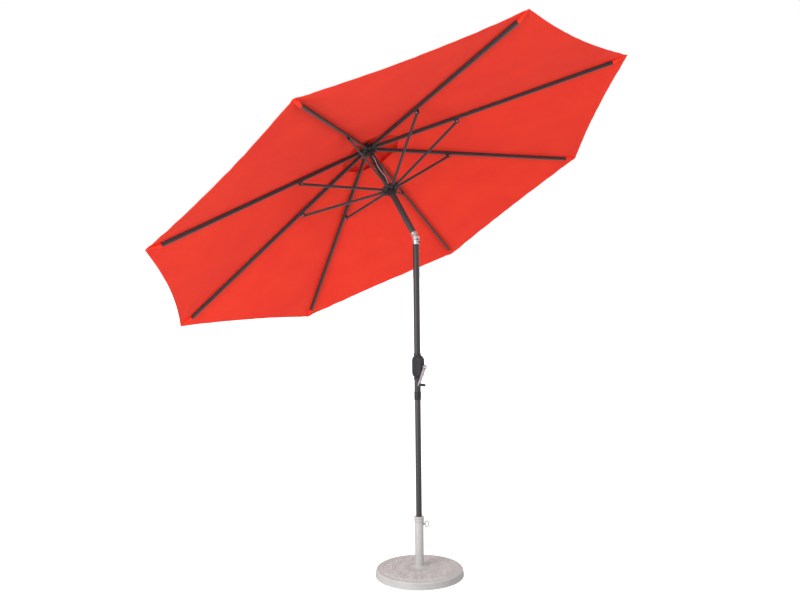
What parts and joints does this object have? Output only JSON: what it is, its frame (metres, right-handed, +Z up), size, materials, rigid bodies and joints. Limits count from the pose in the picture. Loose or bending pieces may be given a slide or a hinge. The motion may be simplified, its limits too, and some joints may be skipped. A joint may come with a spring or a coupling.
{
  "type": "patio umbrella with base",
  "caption": "Tilting garden umbrella with crank, rib-and-strut canopy frame, vented cloth canopy and a round weighted base with clamp knob.",
  "frame": {"origin": "middle of the base's underside, on the ground", "axes": "+Z up the mast, the head leans towards -X, the tilt pin lies along Y"},
  "size_m": [2.1146, 2.5094, 2.6268],
  "materials": {
    "charcoal_paint": "satin",
    "dark_plastic": "satin",
    "black_plastic": "matte",
    "zinc": "satin",
    "steel": "satin",
    "pale_paint": "satin",
    "cast_stone": "matte",
    "canopy_cloth": "matte",
    "cord_braid": "matte"
  },
  "bodies": {
    "base": {"base_plate": "cast_stone", "base_tube": "pale_paint", "tube_cap": "pale_paint", "knob_nut": "steel"},
    "knob": {"base_knob": "pale_paint"},
    "pole_foot": {"pole_foot": "black_plastic"},
    "mast": {"lower_pole": "charcoal_paint", "joint_spigot": "steel", "pole_collar": "dark_plastic", "middle_pole": "charcoal_paint", "housing_front": "dark_plastic", "housing_back": "dark_plastic", "brake_spring": "steel", "lower_knuckle": "zinc", "tilt_pin": "steel", "lift_cord_lower": "cord_braid"},
    "snap": {"snap_button": "zinc"},
    "crank": {"crank_shaft": "steel", "cord_spool": "black_plastic", "shaft_collar": "steel", "crank_arm": "zinc"},
    "grip": {"crank_grip": "black_plastic"},
    "button": {"tilt_button": "black_plastic"},
    "head": {"upper_knuckle": "zinc", "top_hub": "black_plastic", "top_pole": "charcoal_paint", "pulley_pin": "steel", "vent_cap": "canopy_cloth", "finial": "black_plastic", "lift_cord_upper": "cord_braid"},
    "pulley": {"pulley": "black_plastic"},
    "runner": {"runner": "black_plastic", "lift_cord_outer": "cord_braid"},
    "rib_1": {"rib_1": "charcoal_paint"},
    "strut_1": {"strut_1": "charcoal_paint"},
    "panel_1": {"panel_1": "canopy_cloth"},
    "rib_2": {"rib_2": "charcoal_paint"},
    "strut_2": {"strut_2": "charcoal_paint"},
    "panel_2": {"panel_2": "canopy_cloth"},
    "rib_3": {"rib_3": "charcoal_paint"},
    "strut_3": {"strut_3": "charcoal_paint"},
    "panel_3": {"panel_3": "canopy_cloth"},
    "rib_4": {"rib_4": "charcoal_paint"},
    "strut_4": {"strut_4": "charcoal_paint"},
    "panel_4": {"panel_4": "canopy_cloth"},
    "rib_5": {"rib_5": "charcoal_paint"},
    "strut_5": {"strut_5": "charcoal_paint"},
    "panel_5": {"panel_5": "canopy_cloth"},
    "rib_6": {"rib_6": "charcoal_paint"},
    "strut_6": {"strut_6": "charcoal_paint"},
    "panel_6": {"panel_6": "canopy_cloth"},
    "rib_7": {"rib_7": "charcoal_paint"},
    "strut_7": {"strut_7": "charcoal_paint"},
    "panel_7": {"panel_7": "canopy_cloth"},
    "rib_8": {"rib_8": "charcoal_paint"},
    "strut_8": {"strut_8": "charcoal_paint"},
    "panel_8": {"panel_8": "canopy_cloth"}
  },
  "joints": [
    {"name": "knob_turn", "type": "hinge", "parent": "base", "child": "knob", "pos_m": [0, 0, 0.267], "axis": [0.8192, 0.5736, 0], "range_deg": [0, 540]},
    {"name": "pole_lift", "type": "slide", "parent": "base", "child": "pole_foot", "axis": [0, 0, 1], "range_m": [0, 0.22]},
    {"name": "mast_turn", "type": "hinge", "parent": "pole_foot", "child": "mast", "pos_m": [0, 0, 0], "axis": [0, 0, 1], "continuous": true},
    {"name": "snap_press", "type": "slide", "parent": "mast", "child": "snap", "axis": [0, -1, 0], "range_m": [0, 0.0045], "stiffness_N_per_m": 800, "springref_m": -0.001},
    {"name": "grip_spin", "type": "hinge", "parent": "crank", "child": "grip", "pos_m": [0.068, -0.053, 0.996], "axis": [1, 0, 0], "continuous": true},
    {"name": "tilt_press", "type": "slide", "parent": "mast", "child": "button", "axis": [-1, 0, 0], "range_m": [0, 0.0035], "stiffness_N_per_m": 1200, "springref_m": -0.001},
    {"name": "head_tilt", "type": "hinge", "parent": "mast", "child": "head", "pos_m": [0, 0, 1.7383], "axis": [0, 1, 0], "range_deg": [0, 32.6]},
    {"name": "canopy_fold", "type": "hinge", "parent": "head", "child": "rib_1", "pos_m": [-0.27128, -0.01183, 2.21767], "axis": [0.3115, 0.9291, 0.1992], "range_deg": [0, 15.5]},
    {"name": "rib_2_fold", "type": "hinge", "parent": "head", "child": "rib_2", "pos_m": [-0.27156, 0.01266, 2.21748], "axis": [-0.3332, 0.9184, -0.2131], "range_deg": [0, 15.5]},
    {"name": "rib_3_fold", "type": "hinge", "parent": "head", "child": "rib_3", "pos_m": [-0.28636, 0.02973, 2.20802], "axis": [-0.7827, 0.3697, -0.5006], "range_deg": [0, 15.5]},
    {"name": "rib_4_fold", "type": "hinge", "parent": "head", "child": "rib_4", "pos_m": [-0.30699, 0.02939, 2.19483], "axis": [-0.7737, -0.3955, -0.4948], "range_deg": [0, 15.5]},
    {"name": "rib_5_fold", "type": "hinge", "parent": "head", "child": "rib_5", "pos_m": [-0.32137, 0.01183, 2.18563], "axis": [-0.3115, -0.9291, -0.1992], "range_deg": [0, 15.5]},
    {"name": "rib_6_fold", "type": "hinge", "parent": "head", "child": "rib_6", "pos_m": [-0.32108, -0.01266, 2.18581], "axis": [0.3332, -0.9184, 0.2131], "range_deg": [0, 15.5]},
    {"name": "rib_7_fold", "type": "hinge", "parent": "head", "child": "rib_7", "pos_m": [-0.30629, -0.02973, 2.19527], "axis": [0.7827, -0.3697, 0.5006], "range_deg": [0, 15.5]},
    {"name": "rib_8_fold", "type": "hinge", "parent": "head", "child": "rib_8", "pos_m": [-0.28566, -0.02939, 2.20847], "axis": [0.7737, 0.3955, 0.4948], "range_deg": [0, 15.5]},
    {"name": "strut_1_swing", "type": "hinge", "parent": "rib_1", "child": "strut_1", "pos_m": [0.14072, -0.17463, 2.33277], "axis": [0.3115, 0.9291, 0.1992], "range_deg": [-31, 0]},
    {"name": "strut_2_swing", "type": "hinge", "parent": "rib_2", "child": "strut_2", "pos_m": [0.13646, 0.18682, 2.33005], "axis": [-0.3332, 0.9184, -0.2131], "range_deg": [-31, 0]},
    {"name": "strut_3_swing", "type": "hinge", "parent": "rib_3", "child": "strut_3", "pos_m": [-0.08186, 0.43883, 2.19043], "axis": [-0.7827, 0.3697, -0.5006], "range_deg": [-31, 0]},
    {"name": "strut_4_swing", "type": "hinge", "parent": "rib_4", "child": "strut_4", "pos_m": [-0.38636, 0.43378, 1.99569], "axis": [-0.7737, -0.3955, -0.4948], "range_deg": [-31, 0]},
    {"name": "strut_5_swing", "type": "hinge", "parent": "rib_5", "child": "strut_5", "pos_m": [-0.59867, 0.17463, 1.85991], "axis": [-0.3115, -0.9291, -0.1992], "range_deg": [-31, 0]},
    {"name": "strut_6_swing", "type": "hinge", "parent": "rib_6", "child": "strut_6", "pos_m": [-0.59442, -0.18682, 1.86263], "axis": [0.3332, -0.9184, 0.2131], "range_deg": [-31, 0]},
    {"name": "strut_7_swing", "type": "hinge", "parent": "rib_7", "child": "strut_7", "pos_m": [-0.3761, -0.43883, 2.00226], "axis": [0.7827, -0.3697, 0.5006], "range_deg": [-31, 0]},
    {"name": "strut_8_swing", "type": "hinge", "parent": "rib_8", "child": "strut_8", "pos_m": [-0.07159, -0.43378, 2.19699], "axis": [0.7737, 0.3955, 0.4948], "range_deg": [-31, 0]},
    {"name": "runner_slide", "type": "hinge", "parent": "strut_1", "child": "runner", "pos_m": [-0.13658, -0.01183, 2.00705], "axis": [0.3115, 0.9291, 0.1992], "range_deg": [0, 15.5], "deforming": ["lift_cord_outer"]},
    {"name": "panel_1_fold", "type": "hinge", "parent": "head", "child": "panel_1", "pos_m": [-0.27142, 0.00041, 2.21758], "axis": [-0.0118, 0.9999, -0.0075], "range_deg": [0, 16.41], "deforming": ["panel_1"]},
    {"name": "panel_2_fold", "type": "hinge", "parent": "head", "child": "panel_2", "pos_m": [-0.27896, 0.02119, 2.21275], "axis": [-0.604, 0.6972, -0.3863], "range_deg": [0, 16.41], "deforming": ["panel_2"]},
    {"name": "panel_3_fold", "type": "hinge", "parent": "head", "child": "panel_3", "pos_m": [-0.29667, 0.02956, 2.20143], "axis": [-0.8424, -0.014, -0.5387], "range_deg": [0, 16.41], "deforming": ["panel_3"]},
    {"name": "panel_4_fold", "type": "hinge", "parent": "head", "child": "panel_4", "pos_m": [-0.31418, 0.02061, 2.19023], "axis": [-0.5873, -0.7169, -0.3756], "range_deg": [0, 16.41], "deforming": ["panel_4"]},
    {"name": "panel_5_fold", "type": "hinge", "parent": "head", "child": "panel_5", "pos_m": [-0.32123, -0.00041, 2.18572], "axis": [0.0118, -0.9999, 0.0075], "range_deg": [0, 16.41], "deforming": ["panel_5"]},
    {"name": "panel_6_fold", "type": "hinge", "parent": "head", "child": "panel_6", "pos_m": [-0.31369, -0.02119, 2.19054], "axis": [0.604, -0.6972, 0.3863], "range_deg": [0, 16.41], "deforming": ["panel_6"]},
    {"name": "panel_7_fold", "type": "hinge", "parent": "head", "child": "panel_7", "pos_m": [-0.29598, -0.02956, 2.20187], "axis": [0.8424, 0.014, 0.5387], "range_deg": [0, 16.41], "deforming": ["panel_7"]},
    {"name": "panel_8_fold", "type": "hinge", "parent": "head", "child": "panel_8", "pos_m": [-0.27847, -0.02061, 2.21307], "axis": [0.5873, 0.7169, 0.3756], "range_deg": [0, 16.41], "deforming": ["panel_8"]},
    {"name": "crank_turn", "type": "hinge", "parent": "mast", "child": "crank", "pos_m": [0, 0, 1.08], "axis": [1, 0, 0], "range_deg": [0, 1526]},
    {"name": "pulley_turn", "type": "hinge", "parent": "head", "child": "pulley", "pos_m": [-0.27477, 0, 2.16795], "axis": [0.5957, 0.7071, 0.381], "continuous": true}
  ],
  "couplings": [
    {"joint": "rib_2_fold", "follows": "canopy_fold", "ratio": 1},
    {"joint": "rib_3_fold", "follows": "canopy_fold", "ratio": 1},
    {"joint": "rib_4_fold", "follows": "canopy_fold", "ratio": 1},
    {"joint": "rib_5_fold", "follows": "canopy_fold", "ratio": 1},
    {"joint": "rib_6_fold", "follows": "canopy_fold", "ratio": 1},
    {"joint": "rib_7_fold", "follows": "canopy_fold", "ratio": 1},
    {"joint": "rib_8_fold", "follows": "canopy_fold", "ratio": 1},
    {"joint": "strut_1_swing", "follows": "canopy_fold", "ratio": -2},
    {"joint": "strut_2_swing", "follows": "canopy_fold", "ratio": -2},
    {"joint": "strut_3_swing", "follows": "canopy_fold", "ratio": -2},
    {"joint": "strut_4_swing", "follows": "canopy_fold", "ratio": -2},
    {"joint": "strut_5_swing", "follows": "canopy_fold", "ratio": -2},
    {"joint": "strut_6_swing", "follows": "canopy_fold", "ratio": -2},
    {"joint": "strut_7_swing", "follows": "canopy_fold", "ratio": -2},
    {"joint": "strut_8_swing", "follows": "canopy_fold", "ratio": -2},
    {"joint": "runner_slide", "follows": "canopy_fold", "ratio": 1},
    {"joint": "panel_1_fold", "follows": "canopy_fold", "ratio": 1.058},
    {"joint": "panel_2_fold", "follows": "canopy_fold", "ratio": 1.058},
    {"joint": "panel_3_fold", "follows": "canopy_fold", "ratio": 1.058},
    {"joint": "panel_4_fold", "follows": "canopy_fold", "ratio": 1.058},
    {"joint": "panel_5_fold", "follows": "canopy_fold", "ratio": 1.058},
    {"joint": "panel_6_fold", "follows": "canopy_fold", "ratio": 1.058},
    {"joint": "panel_7_fold", "follows": "canopy_fold", "ratio": 1.058},
    {"joint": "panel_8_fold", "follows": "canopy_fold", "ratio": 1.058},
    {"joint": "crank_turn", "follows": "canopy_fold", "ratio": 98.39}
  ]
}
